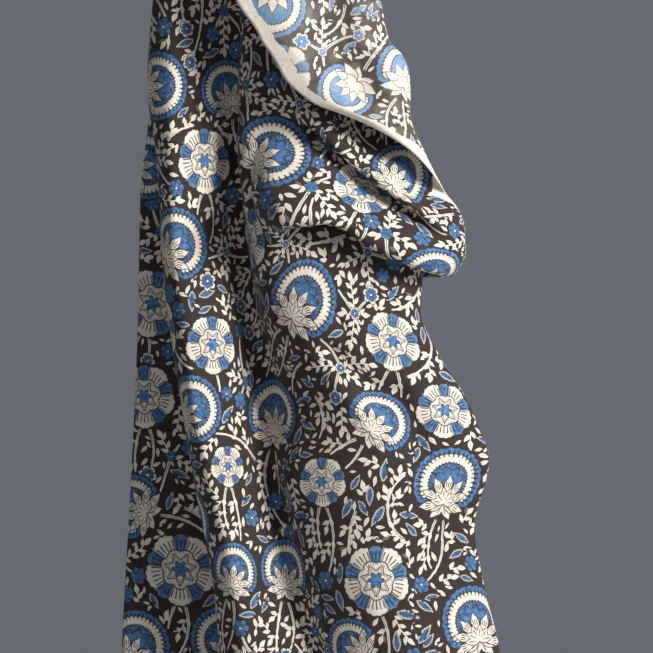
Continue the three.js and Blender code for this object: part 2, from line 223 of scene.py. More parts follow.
def section_controls(drop):
    """The points of the section at each drop, and how far its selvedge turns forward, -1 to 1."""
    points = [
        np.stack([smooth_column(rows, 1)(drop), smooth_column(rows, 2)(drop)], -1)
        for rows in FOLDS.values()
    ]
    x = smooth_column(RIGHT_SIDE, 1)(drop)
    reach = smooth_column(RIGHT_SIDE, 2)(drop)
    crease = smooth_column(RIGHT_SIDE, 3)(drop)
    side = reach / np.hypot(reach, ROLL_SOFTNESS)
    run = np.hypot(reach, ROLL_SOFTNESS) - ROLL_SOFTNESS
    depth = ROLL_DEPTH + ROLL_DEPTH_FORWARD * side
    gap = np.where(reach > 0, FORWARD_GAP, BACKWARD_GAP) * side
    groove = CREASE_DEPTH * smoothstep(reach, CREASE_START, CREASE_FULL_REACH)
    bow = np.clip(run / FULL_BOW_RUN, 0, 1)
    # The shoulder, the roll, and the turned part, which bends at these shares of its run and gap
    points += [
        np.stack([x - SHOULDER_IN, ROLL_DEPTH + SHOULDER_FORWARD * side], -1),
        np.stack([x, depth], -1),
        np.stack([x - 0.14 * run, depth - 0.75 * gap], -1),
        np.stack([x - crease * run, depth - (0.86 + 0.16 * bow) * gap + groove], -1),
        np.stack([x - (0.55 + 0.45 * crease) * run, depth - (0.94 + 0.2 * bow) * gap], -1),
        np.stack([x - run, depth - gap], -1),
    ]
    return np.stack(points, 1), side


# %% A curve through the points
CURVE_STEPS = 24
TIGHTEST_KNOT = 0.02


def curve_through(points):
    """A centripetal Catmull-Rom curve through every section's points: (sections, steps, 2)."""
    before = 2 * points[:, :1] - points[:, 1:2]
    after = 2 * points[:, -1:] - points[:, -2:-1]
    p = np.concatenate([before, points, after], 1)
    knot = np.sqrt(np.linalg.norm(np.diff(p, axis=1), axis=-1))
    knot = np.maximum(knot, TIGHTEST_KNOT)[..., None]
    pieces = []
    for k in range(points.shape[1] - 1):
        a, b, c = knot[:, k], knot[:, k + 1], knot[:, k + 2]
        p0, p1, p2, p3 = p[:, k], p[:, k + 1], p[:, k + 2], p[:, k + 3]
        start = b * ((p1 - p0) / a - (p2 - p0) / (a + b) + (p2 - p1) / b)
        end = b * ((p2 - p1) / b - (p3 - p1) / (b + c) + (p3 - p2) / c)
        for t in np.arange(CURVE_STEPS) / CURVE_STEPS:
            pieces.append(
                (2 * t**3 - 3 * t**2 + 1) * p1 + (t**3 - 2 * t**2 + t) * start
                + (3 * t**2 - 2 * t**3) * p2 + (t**3 - t**2) * end
            )
    pieces.append(points[:, -1])
    return np.stack(pieces, 1)


# %% Sections every two millimetres
LOWEST_DROP = 740
SECTION_STEP = 2.0
VALLEY = list(FOLDS).index("valley")
ROLL_LINE = len(FOLDS) + 1

drops = np.arange(0, LOWEST_DROP + SECTION_STEP, SECTION_STEP)
controls, roll_side = section_controls(drops)
sections = curve_through(controls)
steps_along = np.linalg.norm(np.diff(sections, axis=1), axis=-1)
along = np.concatenate([np.zeros((len(drops), 1)), np.cumsum(steps_along, 1)], 1)
to_valley = along[:, VALLEY * CURVE_STEPS]
to_roll = along[:, ROLL_LINE * CURVE_STEPS]
print("sections", len(drops), "- width along the cloth at the top and the hem:",
      round(along[0, -1]), round(along[-1, -1]), "mm")

# %% [markdown]
# ## The sheet as a grid
#
# A column of the grid runs down the cloth like a warp thread, and is walked down millimetre by
# millimetre. Where a column meets a tuck the walk turns back and down again, which folds the
# sheet over itself, as cloth does where it is caught up. The path length down a column and the
# length along the section are the print's own flat coordinates.

# %% The columns of the grid
LEFT_COLUMNS = 100
RIGHT_COLUMNS = 92

left_across = np.arange(LEFT_COLUMNS) / LEFT_COLUMNS - 1
right_across = np.arange(RIGHT_COLUMNS + 1) / RIGHT_COLUMNS
across = np.concatenate([left_across, right_across])
column_count = len(across)
print("columns", column_count, "- left of the valley", LEFT_COLUMNS)

# %% Where each section holds its columns
SLOPE_REACH = 6
ROLL_PUSH = 2
ROLL_PUSH_REACH = 14
TABLE_NAMES = ("x", "depth", "push_x", "push_depth", "tuck_x", "roll_x", "u")


def column_tables():
    """For each section and column: where the sheet is, and which way a tuck pushes it."""
    tables = {name: np.zeros((len(drops), column_count)) for name in TABLE_NAMES}
    for i in range(len(drops)):
        line, arc = sections[i], along[i]
        steps = (1 + np.minimum(across, 0)) * VALLEY * CURVE_STEPS
        on_left = np.interp(steps, np.arange(len(arc)), arc)
        on_right = to_valley[i] + across * (arc[-1] - to_valley[i])
        s = np.where(across < 0, on_left, on_right)
        tables["x"][i] = np.interp(s, arc, line[:, 0])
        tables["depth"][i] = np.interp(s, arc, line[:, 1])
        ahead = [np.interp(np.minimum(s + SLOPE_REACH, arc[-1]), arc, line[:, k]) for k in (0, 1)]
        behind = [np.interp(np.maximum(s - SLOPE_REACH, 0), arc, line[:, k]) for k in (0, 1)]
        way_x, way_depth = ahead[0] - behind[0], ahead[1] - behind[1]
        length = np.hypot(way_x, way_depth) + 1e-9
        near_roll = ROLL_PUSH * np.exp(-(((s - to_roll[i]) / ROLL_PUSH_REACH) ** 2))
        share = smoothstep(roll_side[i], -0.6, 0.6) * smoothstep(s, to_roll[i] - 60, to_roll[i] - 30)
        push_x = way_depth / length * (1 - share) + near_roll * share
        push_depth = -way_x / length * (1 - share) - share
        length = np.hypot(push_x, push_depth) + 1e-9
        tables["push_x"][i] = push_x / length
        tables["push_depth"][i] = push_depth / length
        roll_x = line[ROLL_LINE * CURVE_STEPS, 0]
        tables["tuck_x"][i] = np.where(s > to_roll[i], roll_x, tables["x"][i])
        tables["roll_x"][i] = roll_x
        tables["u"][i] = s - to_valley[i]
    return tables


def at_drop(table, drop):
    """A table's values at one drop for each column, or at a whole grid of drops."""
    step = np.clip(drop, 0, LOWEST_DROP - 0.01) / SECTION_STEP
    i = step.astype(int)
    j = np.broadcast_to(np.arange(column_count), drop.shape)
    return table[i, j] * (1 - step + i) + table[i + 1, j] * (step - i)


tables = column_tables()
print("tables", len(tables), "of", len(drops), "sections by", column_count, "columns")

# %% The turn of a tuck
TUCK_STEPS = 80
LIP_GUESS = 200.0
LIP_ROUNDS = 12


def turn_shape(part):
    """How much of its turn a tuck has at each part of its length: none at both ends."""
    return np.sin(np.pi * part) ** 2 * (1 + 0.35 * np.cos(np.pi * part) ** 2)


def tuck_in(tables, tuck):
    """Where a tuck starts in each column, how much it turns, and how far it pushes the cloth."""
    rows = np.array(tuck["lip"], float)
    lip = np.full(column_count, LIP_GUESS)
    for _ in range(LIP_ROUNDS):
        lip = (lip + np.interp(at_drop(tables["tuck_x"], lip), rows[:, 0], rows[:, 1])) / 2
    turn = np.radians(np.interp(at_drop(tables["tuck_x"], lip), rows[:, 0], rows[:, 2]))
    angle = turn[:, None] * turn_shape((np.arange(TUCK_STEPS) + 0.5) / TUCK_STEPS)
    step = tuck["length"] / TUCK_STEPS
    back = np.concatenate([np.zeros((column_count, 1)), np.cumsum(np.sin(angle) * step, 1)], 1)
    down = np.cumsum(np.cos(angle) * step, 1)
    lowest = np.maximum(down[:, : TUCK_STEPS // 2].max(1), 0)
    return {**tuck, "turn": turn, "start": lip - lowest, "back": back, "swell": back[:, -1]}


def back_at(tuck, part):
    """How far back the cloth has gone at a part of the tuck's length."""
    step = np.clip(part, 0, 1) * TUCK_STEPS
    i = np.minimum(step.astype(int), TUCK_STEPS - 1)
    j = np.arange(column_count)
    return tuck["back"][j, i] * (1 - step + i) + tuck["back"][j, i + 1] * (step - i)


tucks = [tuck_in(tables, tuck) for tuck in TUCKS]
print("tucks turn up to", [round(math.degrees(tuck["turn"].max())) for tuck in tucks], "degrees")

# %% Walk down every column
CUT_LENGTH = 735
WALK_STEP = 1.0
LONGEST = CUT_LENGTH + 60


def walk_down(tucks):
    """The drop and the push at every millimetre of each column."""
    count = int(LONGEST / WALK_STEP) + 1
    drop_at = np.zeros((count, column_count))
    push_at = np.zeros((count, column_count))
    part = [np.full(column_count, -1.0) for _ in tucks]
    drop = np.zeros(column_count)
    for i in range(count):
        drop_at[i] = drop
        angle = np.zeros(column_count)
        for tuck, done in zip(tucks, part):
            swelling = smoothstep(drop, tuck["start"] - tuck["lead"], tuck["start"])
            inside = tuck["swell"] - back_at(tuck, done)
            push_at[i] += np.where(done < 0, tuck["swell"] * swelling, inside)
            angle += np.where((done >= 0) & (done < 1), tuck["turn"] * turn_shape(np.clip(done, 0, 1)), 0)
        drop = drop + np.cos(angle) * WALK_STEP
        for k, tuck in enumerate(tucks):
            fresh = np.where(drop >= tuck["start"], (drop - tuck["start"]) / tuck["length"], -1.0)
            part[k] = np.where(part[k] >= 0, part[k] + WALK_STEP / tuck["length"], fresh)
    return drop_at, push_at


drop_at, push_at = walk_down(tucks)
taken_up = CUT_LENGTH - drop_at[int(CUT_LENGTH / WALK_STEP)]
print("the tucks take up as much as", round(taken_up.max()), "mm of a column")


# %% Creases across the front
def crease_push(x, drop):
    """How far the creases push a place back, or forward where the number is negative."""
    push = np.zeros_like(x)
    for from_x, from_drop, to_x, to_drop, depth, width in CREASES:
        run_x, run_drop = to_x - from_x, to_drop - from_drop
        share = ((x - from_x) * run_x + (drop - from_drop) * run_drop) / (run_x**2 + run_drop**2)
        share = np.clip(share, 0, 1)
        away = np.hypot(x - from_x - share * run_x, drop - from_drop - share * run_drop)
        push -= depth * np.exp(-((away / width) ** 2))
    return push


# %% The grid
ROW_COUNT = 250
HEM_SHARE = 0.5
FRONT_FADE = 15
ROLL_FADE = 4

hem = CUT_LENGTH + HEM_SHARE * taken_up
share_down = np.linspace(0, 1, ROW_COUNT + 1)
v = share_down[:, None] * hem[None, :]
step = v / WALK_STEP
i = np.minimum(step.astype(int), len(drop_at) - 2)
j = np.broadcast_to(np.arange(column_count), v.shape)
drop = drop_at[i, j] * (1 - step + i) + drop_at[i + 1, j] * (step - i)
push = push_at[i, j] * (1 - step + i) + push_at[i + 1, j] * (step - i)
x = at_drop(tables["x"], drop)
u = at_drop(tables["u"], drop)
tuck_x = at_drop(tables["tuck_x"], drop)
before_roll = np.clip((at_drop(tables["roll_x"], drop) - tuck_x) / ROLL_FADE, 0, 1)
on_front = np.clip(u / FRONT_FADE, 0, 1) * before_roll
push = push + on_front * crease_push(x, drop)
middle = np.stack(
    [
        x + push * at_drop(tables["push_x"], drop),
        at_drop(tables["depth"], drop) + push * at_drop(tables["push_depth"], drop),
        -drop,
    ],
    -1,
)
print("grid", middle.shape[:2], "hem from", round(hem.min()), "to", round(hem.max()), "mm of cloth")

# %% [markdown]
# ## The flat pattern of the sheet
#
# The print was made on flat cloth, so it has to be laid out on the sheet as it would lie flat.
# Across a tuck the cloth is longer than beside it, and the section lengths alone would shear the
# print there. So the grid is flattened patch by patch: each patch keeps its real width, height and
# slant, turns as its corners lie, and asks them to move to where it would fit. A coarse net goes
# first and finer ones follow.

# %% The real shape of every patch
def unit(vectors):
    """The same directions, with a length of one."""
    return vectors / np.maximum(np.linalg.norm(vectors, axis=-1, keepdims=True), 1e-9)


def patch_corners(points, row_at, column_at):
    """The flat corners of a net's patches, as complex numbers round the middle of each patch."""
    weft = np.linalg.norm(np.diff(points, axis=1), axis=-1)
    warp = np.linalg.norm(np.diff(points, axis=0), axis=-1)
    weft_to = np.pad(np.cumsum(weft, 1), ((0, 0), (1, 0)))[row_at][:, column_at]
    warp_to = np.pad(np.cumsum(warp, 0), ((1, 0), (0, 0)))[row_at][:, column_at]
    lean = (unit(np.diff(points, axis=1))[:-1] * unit(np.diff(points, axis=0))[:, :-1]).sum(-1)
    lean_to = np.pad(np.cumsum(np.cumsum(lean, 0), 1), ((1, 0), (1, 0)))[row_at][:, column_at]
    patches_in = np.diff(row_at)[:, None] * np.diff(column_at)[None]
    lean = np.diff(np.diff(lean_to, axis=0), axis=1) / patches_in
    weft, warp = np.diff(weft_to, axis=1), np.diff(warp_to, axis=0)
    wide = (weft[:-1] + weft[1:]) / 2
    tall = (warp[:, :-1] + warp[:, 1:]) / 2 * (lean + 1j * np.sqrt(1 - lean**2))
    return np.stack([-wide - tall, wide - tall, -wide + tall, wide + tall]) / 2


# %% Relax a net
RELAX_RATE = 1.7
CORNERS = [(slice(None, -1), slice(None, -1)), (slice(None, -1), slice(1, None)),
           (slice(1, None), slice(None, -1)), (slice(1, None), slice(1, None))]


def relax(flat, shapes, rounds):
    """Move the corners of a net, round by round, to where all their patches fit best."""
    place = flat[..., 0] + 1j * flat[..., 1]
    shares = np.zeros(place.shape)
    for corner in CORNERS:
        shares[corner] += 1
    for _ in range(rounds):
        corners = np.stack([place[corner] for corner in CORNERS])
        centre = corners.mean(0)
        turn = (np.conj(shapes) * (corners - centre)).sum(0)
        wanted = centre + turn / np.maximum(abs(turn), 1e-9) * shapes
        total = np.zeros_like(place)
        for corner, goal in zip(CORNERS, wanted):
            total[corner] += goal
        place = place + RELAX_RATE * (total / shares - place)
    return np.stack([place.real, place.imag], -1)


def spread(coarse, row_at, column_at, shape):
    """Values on some rows and columns, spread evenly to the whole grid."""
    wide = [[np.interp(np.arange(shape[1]), column_at, row[:, k]) for row in coarse] for k in (0, 1)]
    wide = np.array(wide)
    full = [
        [np.interp(np.arange(shape[0]), row_at, wide[k, :, column]) for column in range(shape[1])]
        for k in (0, 1)
    ]
    return np.array(full).transpose(2, 1, 0)


def every(stride, count):
    """Evenly spread numbers of rows or columns, with the first and the last of them."""
    return np.unique(np.round(np.linspace(0, count - 1, (count - 1) // stride + 1)).astype(int))


# %% Flatten the grid
# Each row: how many lines of the grid one line of the net stands for, and the rounds
RELAX_LEVELS = ((8, 2500), (4, 1200), (2, 400), (1, 120))

flat = np.stack([u, v], -1)
for stride, rounds in RELAX_LEVELS:
    row_at, column_at = every(stride, flat.shape[0]), every(stride, flat.shape[1])
    coarse = flat[row_at][:, column_at]
    moved = relax(coarse, patch_corners(middle, row_at, column_at), rounds) - coarse
    flat = flat + spread(moved, row_at, column_at, flat.shape[:2])
flat += np.stack([u, v], -1)[:1].mean((0, 1)) - flat[:1].mean((0, 1))
flat_weft, real_weft = (np.linalg.norm(np.diff(net, axis=1), axis=-1) for net in (flat, middle))
weft_error = flat_weft / real_weft - 1
side_u, side_v = np.diff(flat, axis=1)[:-1], np.diff(flat, axis=0)[:, :-1]
turned_over = int((side_u[..., 0] * side_v[..., 1] <= side_u[..., 1] * side_v[..., 0]).sum())
print("flattened, mean stretch along the weft", round(float(np.abs(weft_error).mean()), 3),
      "- patches turned over", turned_over,
      "- flat extent", np.round(flat.min((0, 1))), "to", np.round(flat.max((0, 1))), "mm")

# %% [markdown]
# ## The piece
#
# The sheet is closed: a printed front, a plainer reverse half a millimetre behind it, and the cut
# edges between. The edge at the right is the woven selvedge.

# %% Front and back of the sheet
THICKNESS = 0.5


def way_through(points, axis):
    """The direction through each point of the grid between its two neighbours."""
    step = unit(np.diff(points, axis=axis))
    first = np.take(step, [0], axis)
    last = np.take(step, [-1], axis)
    return np.concatenate([first, step], axis) + np.concatenate([step, last], axis)


normal = unit(np.cross(way_through(middle, 0), way_through(middle, 1)))
front = middle + normal * THICKNESS / 2
back = middle - normal * THICKNESS / 2
print("front from", np.round(front.min((0, 1)), 1), "to", np.round(front.max((0, 1)), 1), "mm")

# %% Make the mesh
rows, columns = middle.shape[:2]
vertices = np.concatenate([front.reshape(-1, 3), back.reshape(-1, 3)]) * MM
index = np.arange(rows * columns).reshape(rows, columns)
a, b = index[:-1, :-1].ravel(), index[1:, :-1].ravel()
c, d = index[1:, 1:].ravel(), index[:-1, 1:].ravel()
behind = rows * columns
front_faces = np.stack([a, b, c, d], -1)
back_faces = np.stack([d, c, b, a], -1) + behind
edge = np.concatenate([index[0, ::-1], index[1:, 0], index[-1, 1:], index[::-1, -1][1:-1]])
after = np.roll(edge, -1)
rim_faces = np.stack([after, edge, edge + behind, after + behind], -1)
faces = np.concatenate([front_faces, back_faces, rim_faces])

mesh = bpy.data.meshes.new("printed_cotton")
mesh.from_pydata(vertices.tolist(), [], faces.tolist())
mesh.update()
mesh.polygons.foreach_set("use_smooth", np.ones(len(faces), bool))
cloth = bpy.data.objects.new("printed_cotton", mesh)
bpy.context.scene.collection.objects.link(cloth)
print("faces", len(faces), "size", [round(s, 3) for s in cloth.dimensions])

# %% [markdown]
# ## Laying out the print
#
# The real cloth is printed with carved blocks, set down by eye, so nothing is quite regular. The
# large flowers stand about 60 mm apart and are turned this way and that. Between them run stems,
# small stars with stems that fan out, leafy sprigs, small blue flowers, blue leaves and single
# buds, until little ground is left. The large flowers in view are listed one by one, about where
# the photograph has its own. The rest is laid out by rule with a fixed seed: each piece takes a
# free spot on the flat cloth and keeps a margin round itself.

# %% Large flowers
# Each row: u across and v down the flat cloth, turn clockwise in degrees, radius in millimetres
PALMETTES = [
    (67, 201, 55, 30), (80, 325, 55, 28), (108, 421, 60, 23), (143, 477, 20, 26), (-5, 505, 15, 23),
    (139, 577, 5, 26), (17, 395, 18, 26), (-52, 265, 50, 26), (-55, 154, 90, 24), (-138, 203, 85, 24),
    (-60, 380, 70, 24), (-52, 498, 20, 21), (3, 158, -20, 22), (174, 178, 40, 25),
    (193, 263, 5, 22), (-212, 534, 45, 25), (-192, 438, -55, 23), (203, 76, 85, 21),
    (163, 97, -60, 22), (194, -3, 130, 24),
]
ROSETTES = [
    (-20, 208, 5, 24), (141, 368, 25, 22), (155, 426, 25, 20), (76, 528, 15, 25), (56, 452, 15, 18),
    (-35, 338, 10, 21), (-167, 488, 15, 26), (135, 211, -5, 21), (-167, 363, 10, 23),
    (-39, 424, 10, 15), (225, 34, -50, 21),
]
LATTICE = 62
LATTICE_JITTER = 6
LARGE_GAP = 52
LARGE_TURN = 60
LARGE_RADII = (22, 25)
MARGIN = 20
PALMETTE, ROSETTE = 1, 2
rng = np.random.default_rng(11)

large = [(*row, PALMETTE) for row in PALMETTES] + [(*row, ROSETTE) for row in ROSETTES]
flat_low, flat_high = flat.min((0, 1)) - MARGIN, flat.max((0, 1)) + MARGIN
for m, at_u in enumerate(np.arange(flat_low[0], flat_high[0], LATTICE)):
    for n, at_v in enumerate(np.arange(flat_low[1], flat_high[1], LATTICE)):
        spot = np.array([at_u, at_v + (m % 2) * LATTICE / 2]) + rng.uniform(-1, 1, 2) * LATTICE_JITTER
        if min(np.hypot(spot[0] - row[0], spot[1] - row[1]) for row in large) > LARGE_GAP:
            kind = ROSETTE if (m + 2 * n) % 3 == 0 else PALMETTE
            turn = rng.uniform(-LARGE_TURN, LARGE_TURN)
            large.append((*spot, turn, rng.uniform(*LARGE_RADII), kind))
large = [(at_u, at_v, math.radians(turn), radius, kind) for at_u, at_v, turn, radius, kind in large]
print("large flowers", len(large), "- placed by hand", len(PALMETTES) + len(ROSETTES))

# %% Discs and bent lines of points
DOT = 0.7


def disc(radius):
    """Points all over a disc round zero."""
    span = np.arange(-radius, radius + 0.5, DOT)
    grid = np.stack(np.meshgrid(span, span), -1).reshape(-1, 2)
    return grid[np.hypot(*grid.T) <= radius]


def arc(start, heading, bend, length):
    """Points every millimetre along a curve that leaves a place at a heading and bends evenly."""
    turned = heading + bend * np.arange(0, length + 0.5)
    steps = np.stack([np.cos(turned), np.sin(turned)], -1)
    return start + np.cumsum(steps, 0) - steps[:1]


def swept(curve, radius):
    """Points all over a band round a curve."""
    return (curve[:, None] + disc(radius)[None]).reshape(-1, 2)


def at_heading(heading, distance):
    return distance * np.array([math.cos(heading), math.sin(heading)])


# %% A board of the flat cloth, to keep the pieces apart
CELL = 0.8


class Board:
    """The flat cloth in small cells, and what is printed where."""

    def __init__(self, low, high):
        self.low = np.floor(low)
        self.taken = np.zeros(np.ceil((high - self.low) / CELL).astype(int), bool)

    def cells(self, points):
        cell = ((np.asarray(points) - self.low) / CELL).astype(int)
        return tuple(np.clip(cell, 0, np.array(self.taken.shape) - 1).T)

    def crowding(self, points):
        """The share of some points that is taken."""
        return self.taken[self.cells(points)].mean()

    def take(self, points):
        self.taken[self.cells(points)] = True

    def spot(self):
        """Any place on the board."""
        return self.low + rng.uniform(0, 1, 2) * self.taken.shape * CELL


board = Board(flat_low, flat_high)
print("board", *board.taken.shape, "cells of", CELL, "mm")

# %% Pieces that grow on the board
CROWDED = 0.16
SMALL_MARGIN = 0.4
BLUE_LEAF, CREAM_BUD = 1, 2
SMALL_KINDS = 3
SPRIG_REACH = 3.4
SPRIG_BEND = 0.03

stems, sprigs, smalls, leaves = [], [], [], []


def grow(kept, start, heading, bend, length, reach, shortest, spare=2):
    """A stem or sprig from a start, cut short where it would meet something."""
    curve = arc(start, heading, bend, length)
    side = disc(reach)
    clear = 0
    for k in range(spare, len(curve)):
        if board.crowding(curve[k] + side) > CROWDED:
            break
        clear = k
    if clear < shortest:
        return None
    kept.append((*start, heading, bend, float(clear)))
    return curve[: clear + 1]


def small_flower(place, radius):
    smalls.append((*place, rng.uniform(0, math.tau), radius, rng.integers(0, SMALL_KINDS)))
    board.take(place + disc(radius + SMALL_MARGIN))


def leaf(place, heading, length, kind, width, crowded):
    """A leaf or bud, if its place is free."""
    shape = swept(arc(place, heading, 0, length)[1:-1], width)
    if board.crowding(shape) < crowded:
        leaves.append((*place, heading, length, kind))
        board.take(shape)


def side_sprigs(curve, places, heading, bend, angle, lengths, reach):
    """Leafy sprigs on both sides of a stem, each bent back towards it."""
    for k in places:
        side = angle if k % 2 else -angle
        out = heading + bend * k + side
        branch = grow(sprigs, curve[k], out, -side * SPRIG_BEND, rng.uniform(*lengths), reach, 7, 5)
        if branch is not None:
            board.take(swept(branch, SPRIG_REACH))


# %% Two stems from the foot of every large flower
STEM_REACH = 1.6
STEM_LEAN = 0.4
STEM_BENDS = (0.012, 0.03)
STEM_LENGTHS = (36, 70)
TIP_FLOWERS = (5.5, 7)
LARGE_MARGIN = 0.8
ROOM_AT_TIP = 0.5

for at_u, at_v, turn, radius, kind in large:
    board.take(np.array([at_u, at_v]) + disc(radius + LARGE_MARGIN))
for at_u, at_v, turn, radius, kind in large:
    down = turn + math.pi / 2
    for lean in rng.permutation([-STEM_LEAN, STEM_LEAN]):
        foot = np.array([at_u, at_v]) + at_heading(down + lean * 0.35, radius * 0.98)
        bend = rng.uniform(*STEM_BENDS) * (1 if lean < 0 else -1)
        curve = grow(stems, foot, down + lean, bend, rng.uniform(*STEM_LENGTHS), STEM_REACH, 12, spare=5)
        if curve is None:
            continue
        board.take(swept(curve[3:], STEM_REACH))
        side_sprigs(curve, range(9, len(curve) - 5, 8), down + lean, bend, 0.8, (9, 18), 2.6)
        if board.crowding(curve[-1] + disc(7.5)) < ROOM_AT_TIP:
            small_flower(curve[-1], rng.uniform(*TIP_FLOWERS))
print("stems", len(stems), "- sprigs on them", len(sprigs), "- flowers at their tips", len(smalls))

# %% Stars of stems and sprigs in the free spots
STAR_TRIES = 700
STAR_ROOM = 10
STAR_CENTRE = 3.6
STAR_FLOWERS = (3.5, 4.5)
ARM_FLOWERS = (4.5, 6.5)
ARM_LENGTHS = (12, 34)
FREE = 0.02

for _ in range(STAR_TRIES):
    place = board.spot()
    if board.crowding(place + disc(STAR_ROOM)) > FREE:
        continue
    small_flower(place, rng.uniform(*STAR_FLOWERS))
    first, arms = rng.uniform(0, math.tau), rng.integers(5, 8)
    for arm in range(arms):
        heading = first + arm * math.tau / arms + rng.uniform(-0.25, 0.25)
        kept, reach = (stems, STEM_REACH) if arm % 2 else (sprigs, 2.8)
        out = place + at_heading(heading, STAR_CENTRE)
        bend, longest = rng.uniform(-0.03, 0.03), rng.uniform(*ARM_LENGTHS)
        curve = grow(kept, out, heading, bend, longest, reach, 7, spare=4)
        if curve is None:
            continue
        board.take(swept(curve, reach))
        if arm % 2 and board.crowding(curve[-1] + disc(6.5)) < ROOM_AT_TIP:
            small_flower(curve[-1], rng.uniform(*ARM_FLOWERS))
print("with the stars: stems", len(stems), "- sprigs", len(sprigs), "- small flowers", len(smalls))

# %% Leaves, tendrils and small flowers between them, the largest first
LONG_LEAF_TRIES = 1166
TENDRIL_TRIES = 1500
FLOWER_TRIES = 1500
LEAF_TRIES = 7000
SPRIG_TRIES = 16000
BUD_TRIES = 30000

for _ in range(LONG_LEAF_TRIES):
    leaf(board.spot(), rng.uniform(0, math.tau), rng.uniform(13, 18), BLUE_LEAF, 2.4, 0.02)
for _ in range(TENDRIL_TRIES):
    start, heading = board.spot(), rng.uniform(0, math.tau)
    bend = rng.choice([-1, 1]) * rng.uniform(0.015, 0.04)
    curve = grow(stems, start, heading, bend, rng.uniform(24, 55), STEM_REACH, 20, spare=0)
    if curve is None:
        continue
    board.take(swept(curve, STEM_REACH))
    side_sprigs(curve, range(4, len(curve) - 3, 7), heading, bend, 0.75, (8, 16), 2.4)
for _ in range(FLOWER_TRIES):
    place, radius = board.spot(), rng.uniform(5, 7.5)
    if board.crowding(place + disc(radius)) < FREE:
        small_flower(place, radius)
for _ in range(LEAF_TRIES):
    leaf(board.spot(), rng.uniform(0, math.tau), rng.uniform(11, 17), BLUE_LEAF, 2.3, 0.03)
for _ in range(SPRIG_TRIES):
    start, heading = board.spot(), rng.uniform(0, math.tau)
    curve = grow(sprigs, start, heading, rng.uniform(-0.045, 0.045), rng.uniform(11, 30), 2.8, 9)
    if curve is not None:
        board.take(swept(curve, SPRIG_REACH))
for _ in range(BUD_TRIES):
    leaf(board.spot(), rng.uniform(0, math.tau), rng.uniform(4.5, 8), CREAM_BUD, 1.2, 0.1)
print("stems", len(stems), "sprigs", len(sprigs), "small flowers", len(smalls),
      "leaves and buds", len(leaves), "- share of the board taken", round(float(board.taken.mean()), 2))

# %% [markdown]
# ## The print on the grid
#
# Each patch of the grid keeps, for each kind of piece, the one that lies nearest, and each of its
# corners keeps its own place in that piece's drawing. The finish then draws the whole piece from
# those numbers, as sharp as a block would print it, however large the patch is.

# %% The patches as they lie flat
flat_list = flat.reshape(-1, 2)
corner_index = np.stack([a, b, c, d], -1)
corner_flat = flat_list[corner_index]
patch = corner_flat.mean(1)
patch_radius = np.linalg.norm(corner_flat - patch[:, None], axis=-1).max(1)
print("patches", len(patch), "- mean radius", round(float(patch_radius.mean()), 2), "mm")

# %% Places in a piece's own drawing
STRAIGHTEST = 1e-4


def seen_from(points, piece):
    """Points from a piece's own place, x along its heading and y to the right of it."""
    away = points - np.asarray(piece[:2])
    ahead, aside = math.cos(piece[2]), math.sin(piece[2])
    return away[..., 0] * ahead + away[..., 1] * aside, away[..., 1] * ahead - away[..., 0] * aside


def on_curve(points, piece):
    """How far along a bent stem points lie, and how far beside it."""
    x, y = seen_from(points, piece)
    bend = piece[3] if abs(piece[3]) > STRAIGHTEST else STRAIGHTEST
    side = 1 - bend * y
    return np.arctan2(bend * x, side) / bend, (1 - np.hypot(bend * x, side)) / bend


def on_disc(points, piece):
    """Places in a flower or a leaf, as shares of its radius or length."""
    x, y = seen_from(points, piece)
    return x / piece[3], y / piece[3]


def off_curve(s, t, piece):
    return np.hypot(np.maximum(np.maximum(-s, s - piece[4]), 0), t)


def off_leaf(s, t, piece):
    return np.hypot(np.maximum(np.maximum(-s, s - 1), 0), t) * piece[3]


def off_disc(x, y, piece):
    return np.hypot(x, y) * piece[3]


# %% The nearest piece of each kind
FAR = 90.0
# For each kind: its pieces, the place in its drawing, the distance off it, how far off it still
# prints, and how far from its start it can be met. The last two say which number of the piece to
# take, what share of it, and how many millimetres to add.
KINDS = {
    "print_large": (large, on_disc, off_disc, (3, 1.05, 0), (3, 1.1, 0)),
    "print_small": (smalls, on_disc, off_disc, (3, 1.1, 0), (3, 1.2, 0)),
    "print_leaf": (leaves, on_disc, off_leaf, (3, 0.25, 0), (3, 1.3, 0)),
    "print_stem": (stems, on_curve, off_curve, (4, 0, 2), (4, 1, 3)),
    "print_sprig": (sprigs, on_curve, off_curve, (4, 0, 5), (4, 1, 6)),
}


def nearest_pieces(pieces, local, off, reach, span):
    """Each corner's place in the drawing nearest its patch, and that piece's last number."""
    best = np.full(len(patch), FAR)
    values = np.zeros((len(patch), 4, 4))
    values[..., :2] = -FAR
    for piece in pieces:
        furthest = piece[span[0]] * span[1] + span[2]
        around = np.hypot(*(patch - piece[:2]).T) < furthest + patch_radius.max()
        near = np.nonzero(around)[0]
        away = off(*local(patch[near], piece), piece)
        prints_to = piece[reach[0]] * reach[1] + reach[2]
        wins = (away < best[near]) & (away < prints_to + patch_radius[near])
        chosen = near[wins]
        best[chosen] = away[wins]
        values[chosen, :, 0], values[chosen, :, 1] = local(corner_flat[chosen], piece)
        values[chosen, :, 2] = piece[4]
    return values


layers = {name: nearest_pieces(*kind) for name, kind in KINDS.items()}
for name, values in layers.items():
    print(name, "touches", int((values[:, 0, 0] > -FAR / 2).sum()), "of", len(patch), "patches")

# %% Give every face corner its place in the drawings
right_arc = np.cumsum(np.linalg.norm(np.diff(middle[:, ::-1], axis=1), axis=-1), 1)
from_selvedge = np.pad(right_arc, ((0, 0), (1, 0)))[:, ::-1].reshape(-1, 1)
cloth_place = np.concatenate([flat_list, from_selvedge], -1)
edge_quads = np.stack([after, edge, edge, after], -1)


def with_side(corners, side):
    return np.concatenate([corners, np.full(corners.shape[:-1] + (1,), float(side))], -1)


